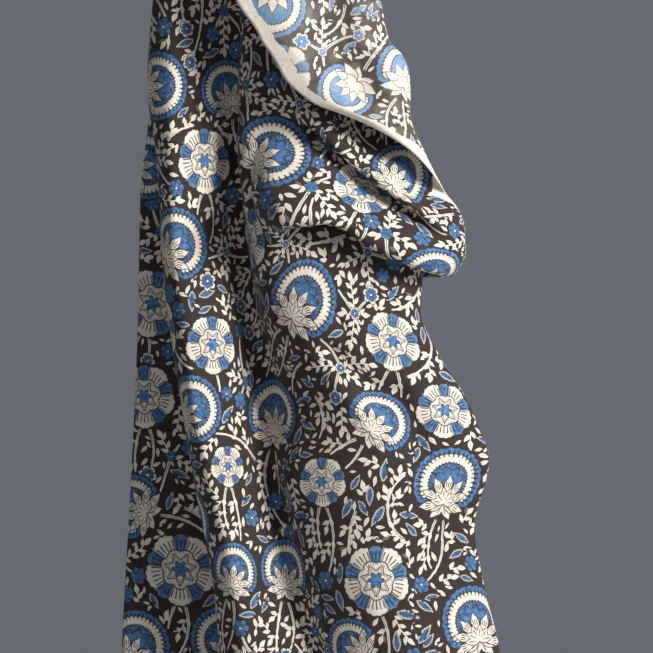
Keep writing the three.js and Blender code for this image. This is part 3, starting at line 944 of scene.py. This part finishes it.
def corner_attribute(name, on_front, on_back, on_rim):
    """Four numbers for every face corner. The corners of the back run the other way."""
    everywhere = np.concatenate([on_front, on_back[:, ::-1], on_rim])
    attribute = mesh.attributes.new(name, "FLOAT_COLOR", "CORNER")
    attribute.data.foreach_set("color", everywhere.astype(np.float32).ravel())


unprinted = np.zeros((len(rim_faces), 4, 4))
unprinted[..., :2] = -FAR
for name, values in layers.items():
    corner_attribute(name, values, values, unprinted)
place_front = cloth_place[corner_index]
place_rim = cloth_place[edge_quads]
sides = ((place_front, 0), (place_front, 1), (place_rim, 1))
corner_attribute("cloth_place", *(with_side(*side) for side in sides))
print("every face corner keeps:", *layers, "cloth_place")

# %% [markdown]
# ## A flat map for keeping the print as a picture
#
# A finish like this one can also be stored as one picture. For that the sheet needs a map on
# which no two spots share a place. The flattened grid is such a map, so the front and the reverse
# lie on it side by side, with a gap between them, and the cut edges run round the front.

# %% The map
BAKE_GAP = 12.0
RIM_STRIP = 1.5
BAND_HEIGHT = 10

band = (flat_list[:, 1] // BAND_HEIGHT).astype(int)
widest = max(np.ptp(flat_list[band == k, 0]) for k in np.unique(band))
shift = np.array([widest + BAKE_GAP, 0])
bake_side = np.ptp(flat_list[:, 0]) + widest + 3 * BAKE_GAP
outward = unit(flat_list - flat_list.mean(0)) * RIM_STRIP
rim_flat = flat_list[edge_quads] + outward[edge_quads] * np.array([0, 0, 1, 1])[:, None]
bake_flat = np.concatenate([corner_flat, (corner_flat + shift)[:, ::-1], rim_flat])
bake_map = mesh.uv_layers.new(name="OFBake")
bake_uv = (bake_flat - flat_list.min(0) + BAKE_GAP) / bake_side * [1, -1] + [0, 1]
bake_map.data.foreach_set("uv", bake_uv.astype(np.float32).ravel())
print("bake map covers", np.round(bake_uv.min((0, 1)), 2), "to", np.round(bake_uv.max((0, 1)), 2))

# %% [markdown]
# ## The finish
#
# The print has three tones: the cream of the bare cloth, blue, and the brown-black ground. Each
# drawing below is built from rings, rays and petals, each laid over what was drawn before. The
# inks are a little uneven, as hand-pressed blocks leave them. The reverse shows the same print,
# but its fine lines hardly come through.

# %% Numbers in the finish
material = bpy.data.materials.new("printed_cotton")
material.use_nodes = True
nodes, links = material.node_tree.nodes, material.node_tree.links


class Term:
    """A number in the finish. Python's signs on it make Math nodes."""

    def __init__(self, socket):
        self.socket = socket

    def __add__(self, other):
        return maths("ADD", self, other)

    def __radd__(self, other):
        return maths("ADD", other, self)

    def __sub__(self, other):
        return maths("SUBTRACT", self, other)

    def __rsub__(self, other):
        return maths("SUBTRACT", other, self)

    def __mul__(self, other):
        return maths("MULTIPLY", self, other)

    def __rmul__(self, other):
        return maths("MULTIPLY", other, self)

    def __truediv__(self, other):
        return maths("DIVIDE", self, other)

    def __abs__(self):
        return maths("ABSOLUTE", self)


def plug(value, socket):
    if isinstance(value, Term):
        links.new(value.socket, socket)
    else:
        socket.default_value = value


def maths(operation, *values, clamp=False):
    node = nodes.new("ShaderNodeMath")
    node.operation = operation
    node.use_clamp = clamp
    for value, socket in zip(values, node.inputs):
        plug(value, socket)
    return Term(node.outputs[0])


# %% Where a spot lies, and soft chance marks
def corner_values(name):
    """The four numbers that each face corner keeps under a name."""
    node = nodes.new("ShaderNodeAttribute")
    node.attribute_name = name
    split = nodes.new("ShaderNodeSeparateColor")
    links.new(node.outputs["Color"], split.inputs[0])
    return [Term(split.outputs[k]) for k in range(3)] + [Term(node.outputs["Alpha"])]


def noise(scale, detail, stretch=(1.0, 1.0)):
    """Soft chance marks on the flat cloth, drawn out along a thread where stretched."""
    node = nodes.new("ShaderNodeTexNoise")
    node.inputs["Scale"].default_value = scale
    node.inputs["Detail"].default_value = detail
    place = nodes.new("ShaderNodeCombineXYZ")
    for value, factor, socket in zip((cloth_u, cloth_v), stretch, place.inputs):
        plug(value * factor, socket)
    links.new(place.outputs[0], node.inputs["Vector"])
    return Term(node.outputs["Fac"])


# %% Edges, rays, lobes and inks
RAY_SOFT = 0.12


def inside(distance, soft):
    """1 where a distance is below zero, 0 where it is above, soft between."""
    return maths("MULTIPLY_ADD", distance, -1 / soft, 0.5, clamp=True)


def between(value, low, high, soft):
    return inside(abs(value - (low + high) / 2) - (high - low) / 2, soft)


def rays(angle, count, width):
    """Even rays round a centre, each as wide as a share of the way to the next."""
    share = maths("FRACT", angle * (count / math.tau) + 0.5)
    return inside(abs(share - 0.5) - width / 2, RAY_SOFT)


def is_kind(value, kind):
    """1 where a corner's number is that of this kind."""
    return inside(abs(value - kind) - 0.5, 0.1)


def lobes(angle, count):
    """A scalloped edge: 0 in every notch, 1 on every lobe."""
    return abs(maths("SINE", angle * (count / 2)))


def polar(x, y):
    """Distance from the centre, and the angle from straight up."""
    return maths("SQRT", x * x + y * y), maths("ARCTAN2", x, y)


class Ink:
    """How much bare cream and how much blue shows. What is neither is ground."""

    def __init__(self):
        self.cream, self.blue = 0.0, 0.0

    def paint(self, mask, cream=0, blue=0):
        """Lay cream, blue or else ground over what was there, where the mask is 1."""
        rest = 1 - mask
        self.cream = maths("MULTIPLY_ADD", self.cream, rest, mask if cream else 0.0)
        self.blue = maths("MULTIPLY_ADD", self.blue, rest, mask if blue else 0.0)


# %% [markdown]
# ## Leaves, stems and sprigs
#
# A carved block leaves a leaf as a pointed oval with a vein, a stem as two cream lines that draw
# together, and a sprig as one thin line with leaves on both sides. Each could be a picture, but a
# formula stays sharp however near one looks. The first formula says how far a spot lies outside
# a pointed petal, and the others are made from it.

# %% Petals
SOFT = 0.03
OUTLINE = 0.03
FAR_OUT = 9


def petal(along_it, beside_it, length, width):
    """How far outside a pointed petal, from its foot at zero to its tip at the length."""
    share = maths("MULTIPLY", along_it, 1 / length, clamp=True)
    swell = maths("SINE", maths("POWER", share, 0.8) * math.pi)
    return abs(beside_it) - swell * width + abs(along_it - share * length)


def petal_fan(angle, radius, gap, offset, most, length, width):
    """How far outside the nearest of several petals that fan out evenly from a foot."""
    k = maths("ROUND", angle * (1 / gap) - offset) + offset
    k = maths("MINIMUM", maths("MAXIMUM", k, -most), most)
    off = angle - k * gap
    return petal(radius * maths("COSINE", off), radius * maths("SINE", off), length, width)


def paint_petals(ink, distance):
    """Cream petals with a thin outline of ground."""
    ink.paint(inside(distance - OUTLINE, SOFT))
    ink.paint(inside(distance, SOFT), cream=1)


# %% Leaves and buds
# Shares of the leaf's length
LEAF_HALF_WIDTH = 0.19
LEAF_EDGE = 0.04
LEAF_SOFT = 0.05
LEAF_TEETH = 8
TOOTH_DEPTH = 0.06


def draw_leaf(ink, s, t, kind, fine):
    """A blue leaf with a toothed cream edge and veins, or a plain cream bud."""
    blue = is_kind(kind, BLUE_LEAF)
    teeth = abs(maths("FRACT", s * LEAF_TEETH) - 0.5) * TOOTH_DEPTH
    off = petal(s, t, 1.0, LEAF_HALF_WIDTH) + teeth * blue
    ink.paint(inside(off - OUTLINE, LEAF_SOFT))
    ink.paint(inside(off, LEAF_SOFT), cream=1)
    ink.paint(inside(off + LEAF_EDGE, LEAF_SOFT) * blue, blue=1)
    side_veins = rays((s - abs(t) * 0.9) * math.tau, LEAF_TEETH, 0.3) * blue
    rib = maths("MAXIMUM", inside(abs(t) - 0.012, 0.03), side_veins * 0.8)
    ink.paint(rib * between(s, 0.12, 0.8, LEAF_SOFT) * inside(off + LEAF_EDGE, SOFT) * fine)


# %% Stems and leafy sprigs
# In millimetres. A stem's two lines lie on either side of its middle, and draw together
STEM_GAP = 0.68
STEM_GAP_LOST = 0.44
HALF_LINE = 0.38
LINE_SOFT = 0.3
END_SOFT = 0.04
LEAF_STEP = 6.6
RIGHT_LEAF_LATER = 2.6
SIDE_LEAF = (6.1, 1.4)
SIDE_LEAF_WAY = (0.72, 0.69)
END_LEAF = (7.0, 1.8)
END_LEAF_FROM = 5


def share_along(s, length):
    """How far along a stem, as a share of its length."""
    return s / maths("MAXIMUM", length, 1.0)


def draw_stem(ink, s, t, length):
    """Two cream lines."""
    share = share_along(s, length)
    gap = STEM_GAP - share * STEM_GAP_LOST
    line = inside(abs(abs(t) - gap) - HALF_LINE, LINE_SOFT)
    ink.paint(line * between(share, 0.0, 1.0, END_SOFT), cream=1)


def draw_sprig(ink, s, t, length, fine):
    """One cream line with leaves on both sides in turn, and a leaf at its end."""
    stem = inside(abs(t) - HALF_LINE, LINE_SOFT) * between(share_along(s, length), 0.0, 1.0, END_SOFT)
    right = inside(0 - t, 0.02)
    step = maths("FRACT", (s - right * RIGHT_LEAF_LATER) * (1 / LEAF_STEP)) * LEAF_STEP
    beside = abs(t) - 0.2
    along_way, across_way = SIDE_LEAF_WAY
    ahead = step * along_way + beside * across_way
    aside = beside * along_way - step * across_way
    side_leaf = petal(ahead, aside, *SIDE_LEAF)
    side_leaf = maths("MAXIMUM", side_leaf, abs(s - step - (length - 6) / 2) - (length - 5) / 2)
    end_leaf = petal(s - length + END_LEAF_FROM, t, *END_LEAF)
    end_leaf = end_leaf + inside(s - length + 4.5, 0.1) * FAR_OUT
    off = maths("MINIMUM", side_leaf, end_leaf)
    ink.paint(maths("MAXIMUM", stem, inside(off, LINE_SOFT)), cream=1)
    rib = abs(aside) + inside(ahead - 1, 0.1) * FAR_OUT
    ink.paint(inside(rib - 0.1, 0.2) * inside(side_leaf + 0.5, 0.2) * fine * 0.75)


# %% [markdown]
# ## The flowers
#
# The largest flower is a lotus that stands in a crescent: a blue band with a scalloped rim, a
# cream one inside it, and a blue cup. The round one has ten segments in cream and blue round a
# ring of petals. Both are drawn from the outside in, each layer over the last, with the radius
# of the flower as the unit. A thin line of ground parts every layer from the next.

# %% The lotus in its crescent
# The crescent is a band on either side of a bent line; its layers end at these distances from it
CRESCENT = 0.71
CRESCENT_TURN = 2.0
CRESCENT_OUTLINE = 0.33
CRESCENT_BLUE = 0.25
CRESCENT_SEAM = 0.14
CRESCENT_CREAM = 0.08
SCALLOP = 0.035
CUP = 0.5
# The lotus fans out from a foot below the centre. The angle between two petals is in radians
LOTUS_FOOT = 0.5
LOTUS_GAP = 0.6
LOWEST_PETALS = (2.45, 0, 1, 0.54, 0.14)
LONG_PETALS = (LOTUS_GAP, 0, 3, 0.76, 0.16)
SHORT_PETALS = (LOTUS_GAP, 0.5, 2.5, 0.42, 0.095)


def draw_palmette(ink, x, y, fine, here):
    """The lotus in its crescent, drawn only where the last value is 1."""
    radius, angle = polar(x, y)
    around = inside(abs(angle) - CRESCENT_TURN, 0.02)
    end_x = abs(x) - CRESCENT * math.sin(CRESCENT_TURN)
    end_y = y - CRESCENT * math.cos(CRESCENT_TURN)
    end = maths("SQRT", end_x * end_x + end_y * end_y)
    off = end + around * (abs(radius - CRESCENT) - end)
    ink.paint(inside(off - CRESCENT_OUTLINE, SOFT) * here)
    ink.paint(inside(off - CRESCENT_BLUE - lobes(angle, 28) * SCALLOP, SOFT) * here, blue=1)
    ink.paint(inside(radius - CUP, SOFT) * around * here, blue=1)
    ink.paint(rays(angle, 44, 0.34) * between(off, 0.13, 0.21, SOFT) * fine * here)
    ink.paint(inside(off - CRESCENT_SEAM, SOFT) * here)
    ink.paint(inside(off - CRESCENT_CREAM - lobes(angle, 40) * SCALLOP, SOFT) * here, cream=1)
    teeth = between(off, 0.0, 0.13, SOFT) * between(radius, 0.74, 0.9, SOFT)
    ink.paint(rays(angle, 40, 0.28) * teeth * fine * here)
    cloud = 0.36 + lobes(angle, 9) * 0.13
    ink.paint(between(radius - cloud, -0.02, 0.02, SOFT) * around * fine * here)
    ink.paint(rays(angle, 40, 0.3) * between(radius - cloud, -0.1, -0.03, SOFT) * around * fine * here)
    foot_radius, foot_angle = polar(x, y + LOTUS_FOOT)
    hidden = (1 - here) * FAR_OUT
    between_petals = foot_angle + LOTUS_GAP / 2
    petal_count = math.tau / LOTUS_GAP
    paint_petals(ink, petal_fan(abs(foot_angle), foot_radius, *LOWEST_PETALS) + hidden)
    paint_petals(ink, petal_fan(foot_angle, foot_radius, *LONG_PETALS) + hidden)
    seams = rays(between_petals, petal_count, 0.2) * between(foot_radius, 0.1, 0.52, SOFT)
    dashes = rays(foot_angle, petal_count * 5, 0.4) * between(foot_radius, 0.42, 0.58, SOFT)
    ink.paint(maths("MAXIMUM", seams, dashes) * inside(abs(foot_angle) - 2.1, SOFT) * fine * here)
    paint_petals(ink, petal_fan(foot_angle, foot_radius, *SHORT_PETALS) + hidden)
    short_seams = rays(between_petals, petal_count, 0.18) * between(foot_radius, 0.1, 0.32, SOFT)
    ink.paint(short_seams * fine * here)


# %% The round flower
# Shares of the way from one blue segment to the next
BLUE_SEGMENTS = 5
BLUE_SHARE = 0.38
RING_PETALS = (math.tau / 7, 0.5, 3.5, 0.46, 0.115)
RING_LOBES = 7


def draw_rosette(ink, x, y, fine, here):
    """The round flower, drawn only where the last value is 1."""
    radius, angle = polar(x, y)
    share = maths("FRACT", angle * (BLUE_SEGMENTS / math.tau) + BLUE_SHARE / 2)
    is_blue = inside(share - BLUE_SHARE, 0.02)
    out = abs(share - 0.69 + is_blue * 0.5) / (0.31 - is_blue * 0.12)
    rim = 0.97 - is_blue * 0.05 - out * out * 0.09 + lobes(angle, 34) * 0.025
    ink.paint(inside(radius - 1.03, SOFT) * here)
    body = inside(radius - rim, SOFT) * here
    ink.paint(body, cream=1)
    ink.paint(body * is_blue, blue=1)
    ink.paint(inside(0.93 - out, 0.06) * body)
    ink.paint(rays(angle, 40, 0.3) * between(radius, 0.56, 0.82, SOFT) * fine * here)
    ring_edge = 0.5 + lobes(angle, RING_LOBES) * 0.07
    ink.paint(inside(radius - ring_edge, SOFT) * here)
    ink.paint(inside(radius - ring_edge + 0.04, SOFT) * here, cream=1)
    ink.paint(rays(angle, 42, 0.22) * between(radius, 0.42, 0.5, SOFT) * fine * here)
    inner = petal_fan(angle, radius, *RING_PETALS) + (1 - here) * FAR_OUT
    ink.paint(between(inner, -0.018, 0.018, SOFT) * fine)
    veins = between(abs(inner + 0.055), -0.01, 0.01, SOFT) * between(radius, 0.25, 0.42, SOFT)
    ink.paint(veins * fine * here)
    flower = 0.12 + lobes(angle, 6) * 0.1
    ink.paint(inside(radius - flower - 0.03, SOFT) * here)
    ink.paint(inside(radius - flower, SOFT) * here, blue=1)


# %% Small flowers
SMALL_PETALS = 6
SMALL_SOFT = 0.08
CENTRE_SOFT = 0.06


def draw_small(ink, x, y, kind, fine):
    """A small blue flower: kind 0 has a cream centre, kind 1 a cream rim too, kind 2 neither."""
    radius, angle = polar(x, y)
    rim = 0.62 + maths("POWER", lobes(angle, SMALL_PETALS), 0.7) * 0.3 + lobes(angle, 21) * 0.1
    creamy = is_kind(kind, 1)
    ink.paint(inside(radius - rim - 0.1, SMALL_SOFT))
    ink.paint(inside(radius - rim, SMALL_SOFT), blue=1)
    ink.paint(between(radius - rim, -0.2, 0, SMALL_SOFT) * creamy, cream=1)
    ink.paint(rays(angle, SMALL_PETALS, 0.16) * between(radius, 0.3, 0.85, SMALL_SOFT) * fine)
    ink.paint(rays(angle, 24, 0.34) * between(radius, 0.45, 0.66, SMALL_SOFT) * fine * 0.8)
    ink.paint(between(radius, 0.2, 0.27, CENTRE_SOFT) * fine)
    ink.paint(inside(radius - 0.13, CENTRE_SOFT) * inside(kind - 1.5, 0.1), cream=1)


# %% [markdown]
# ## Ink, wear and weave
#
# The blocks are pressed down by hand, so the lines waver a little and the inks lie thick in one
# spot and thin in the next. The bare cloth has faint stains. The reverse shows the same print, but
# softer and a little paler. All this is chance marks of several sizes. The threads are finer than
# any mesh could hold, so they are a bump, with thick and thin stretches in both directions.

# %% Colours
GROUND = (0.030, 0.021, 0.018)
GROUND_WORN = (0.055, 0.040, 0.034)
BLUE = (0.030, 0.090, 0.235)
BLUE_WORN = (0.130, 0.265, 0.455)
CREAM = (0.78, 0.71, 0.60)
CREAM_STAINED = (0.66, 0.57, 0.48)


def mix_colour(factor, first, second):
    node = nodes.new("ShaderNodeMix")
    node.data_type = "RGBA"
    plug(factor, node.inputs["Factor"])
    for value, socket in ((first, node.inputs["A"]), (second, node.inputs["B"])):
        if isinstance(value, tuple):
            socket.default_value = (*value, 1)
        else:
            links.new(value, socket)
    return node.outputs["Result"]


def blotches(scale, detail, contrast, level):
    return maths("MULTIPLY_ADD", noise(scale, detail), contrast, level, clamp=True)


# %% Lay down every drawing
SELVEDGE_WIDTH = 11.0
PRINT_END_UNEVEN = 12.0
WOBBLE = 1.3
FINE_LINES_LOST = 0.75

cloth_u, cloth_v, selvedge_away, reverse = corner_values("cloth_place")
fine = 1 - reverse * FINE_LINES_LOST
wobble_x = (noise(0.3, 3) - 0.5) * WOBBLE
wobble_y = (noise(0.3, 3, (1.1, -0.9)) - 0.5) * WOBBLE
ink = Ink()
s, t, length, _ = corner_values("print_stem")
draw_stem(ink, s, t + wobble_y, length)
s, t, length, _ = corner_values("print_sprig")
draw_sprig(ink, s + wobble_x, t + wobble_y, length, fine)
s, t, kind, _ = corner_values("print_leaf")
draw_leaf(ink, s, t + wobble_y * 0.08, kind, fine)
x, y, kind, _ = corner_values("print_small")
draw_small(ink, x + wobble_x * 0.16, y + wobble_y * 0.16, kind, fine)
x, y, kind, _ = corner_values("print_large")
x, y = x + wobble_x * 0.04, 0 - y + wobble_y * 0.04
draw_palmette(ink, x, y, fine, is_kind(kind, PALMETTE))
draw_rosette(ink, x, y, fine, is_kind(kind, ROSETTE))
print_end = SELVEDGE_WIDTH + (noise(0.03, 2) - 0.5) * PRINT_END_UNEVEN
ink.paint(inside(selvedge_away - print_end + wobble_x * 2, 0.6), cream=1)
print("nodes in the drawings", len(nodes))

# %% Worn inks, stained cream and the paler reverse
worn = maths("ADD", noise(0.35, 3) * 2.4 - 0.8, reverse * 0.6, clamp=True)
blue = mix_colour(worn, BLUE, BLUE_WORN)
ground = mix_colour(blotches(1.6, 1, 0.8, -0.2), GROUND, GROUND_WORN)
cream = mix_colour(blotches(0.5, 3, 3.0, -1.3), CREAM, CREAM_STAINED)
printed = mix_colour(ink.cream, mix_colour(ink.blue, ground, blue), cream)
paler = reverse * (0.06 + blotches(0.07, 2, 3.0, -1.4) * 0.2)
faded = mix_colour(paler, printed, CREAM)

# %% Weave and shine
THREAD = 0.42

weft_slub = noise(0.9, 2, (0.12, 1.6))
warp_slub = noise(0.9, 2, (1.6, 0.12))
shade = nodes.new("ShaderNodeHueSaturation")
links.new(faded, shade.inputs["Color"])
plug(maths("MULTIPLY_ADD", weft_slub + warp_slub, 0.32, 0.68), shade.inputs["Value"])

shader = nodes["Principled BSDF"]
links.new(shade.outputs["Color"], shader.inputs["Base Color"])
shader.inputs["Roughness"].default_value = 0.82
shader.inputs["Specular IOR Level"].default_value = 0.25
shader.inputs["Sheen Weight"].default_value = 0.08
shader.inputs["Sheen Roughness"].default_value = 0.5
weave = maths("SINE", cloth_u * (math.tau / THREAD)) * maths("SINE", cloth_v * (math.tau / THREAD))
bump = nodes.new("ShaderNodeBump")
bump.inputs["Strength"].default_value = 0.35
bump.inputs["Distance"].default_value = 0.00012
plug(weave * 0.5 + weft_slub * 1.2 + warp_slub, bump.inputs["Height"])
links.new(bump.outputs["Normal"], shader.inputs["Normal"])
mesh.materials.append(material)
print("nodes in the finish", len(nodes))

# %% [markdown]
# ## What the piece is
#
# The sheet stands for the CAD solid, which is thicker than cloth can be, and it moves with the
# part's only body. It is soft and hangs; its area and its width along the weft at the top and at
# the hem are printed, and its length is the cut length.

top_left, bottom_left = middle[:-1, :-1], middle[1:, :-1]
top_right, bottom_right = middle[:-1, 1:], middle[1:, 1:]
halves = (np.cross(bottom_left - top_left, top_right - top_left),
          np.cross(top_right - bottom_right, bottom_left - bottom_right))
area = sum(float(np.linalg.norm(half, axis=-1).sum()) for half in halves) / 2 * MM * MM
print("one side's area", round(area, 4), "m2; width along the weft at the top",
      round(real_weft[0].sum()), "and at the hem", round(real_weft[-1].sum()), "mm")
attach(cloth, "root")
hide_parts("cloth")

# %% [markdown]
# ## Floor and light
#
# A pale floor, a soft light from the front right, where the photograph's light comes from, a weak
# one from the left so that the valley doesn't go black, one behind for the reverse, and a long
# lens straight on.

# %% Floor
FLOOR_Z = -0.95
FLOOR_REACH = 4
PALE_PAPER = (0.55, 0.56, 0.58, 1)

paper = bpy.data.materials.new("pale_paper")
paper.use_nodes = True
paper_shader = paper.node_tree.nodes["Principled BSDF"]
paper_shader.inputs["Base Color"].default_value = PALE_PAPER
paper_shader.inputs["Roughness"].default_value = 0.9
floor_mesh = bpy.data.meshes.new("floor")
ways = ((-1, -1), (1, -1), (1, 1), (-1, 1))
floor_corners = [(i * FLOOR_REACH, j * FLOOR_REACH, FLOOR_Z) for i, j in ways]
floor_mesh.from_pydata(floor_corners, [], [(0, 1, 2, 3)])
floor_mesh.materials.append(paper)
floor = bpy.data.objects.new("floor", floor_mesh)
bpy.context.scene.collection.objects.link(floor)
print("floor at", FLOOR_Z, "m")

# %% Lights
# The photograph: millimetres of cloth to a pixel, pixels across, the pixel over the origin, and
# how far down the cloth its top edge lies
PIXEL = 0.7
FRAME_PIXELS = 653
ORIGIN_PIXEL = 290
TOP_DROP = 70
CENTRE_X = (FRAME_PIXELS / 2 - ORIGIN_PIXEL) * PIXEL * MM
CENTRE_Z = -(TOP_DROP + FRAME_PIXELS / 2 * PIXEL) * MM
# Each row: name, place in metres, size, power in watts
LIGHTS = [
    ("key", (1.0, -0.9, 0.28), 0.5, 32),
    ("fill", (-0.5, -1.8, 0.2), 1.4, 1.5),
    ("back", (0.2, 2.2, 0.9), 1.5, 30),
]
ROOM_COLOUR = (0.8, 0.85, 0.95, 1)
ROOM_STRENGTH = 0.17


def area_light(name, place, target, size, power):
    light = bpy.data.lights.new(name, "AREA")
    light.size = size
    light.energy = power
    lamp = bpy.data.objects.new(name, light)
    lamp.location = place
    lamp.rotation_euler = (Vector(target) - Vector(place)).to_track_quat("-Z", "Y").to_euler()
    bpy.context.scene.collection.objects.link(lamp)


for name, place, size, power in LIGHTS:
    area_light(name, place, (CENTRE_X, 0, CENTRE_Z), size, power)
world = bpy.data.worlds.new("room")
world.use_nodes = True
world.node_tree.nodes["Background"].inputs["Color"].default_value = ROOM_COLOUR
world.node_tree.nodes["Background"].inputs["Strength"].default_value = ROOM_STRENGTH
bpy.context.scene.world = world
bpy.context.scene.view_settings.view_transform = "Standard"
print("lights", len(LIGHTS))

# %% Camera
LENS = 300
SENSOR = 36
CLIP_END = 20

camera_data = bpy.data.cameras.new("camera")
camera_data.lens = LENS
camera_data.sensor_width = SENSOR
camera_data.clip_end = CLIP_END
camera = bpy.data.objects.new("camera", camera_data)
distance = FRAME_PIXELS * PIXEL * MM / SENSOR * LENS
camera.location = (CENTRE_X, -distance, CENTRE_Z)
camera.rotation_euler = (math.radians(90), 0, 0)
bpy.context.scene.collection.objects.link(camera)
bpy.context.scene.camera = camera
print("camera", round(distance, 2), "m in front of the cloth")
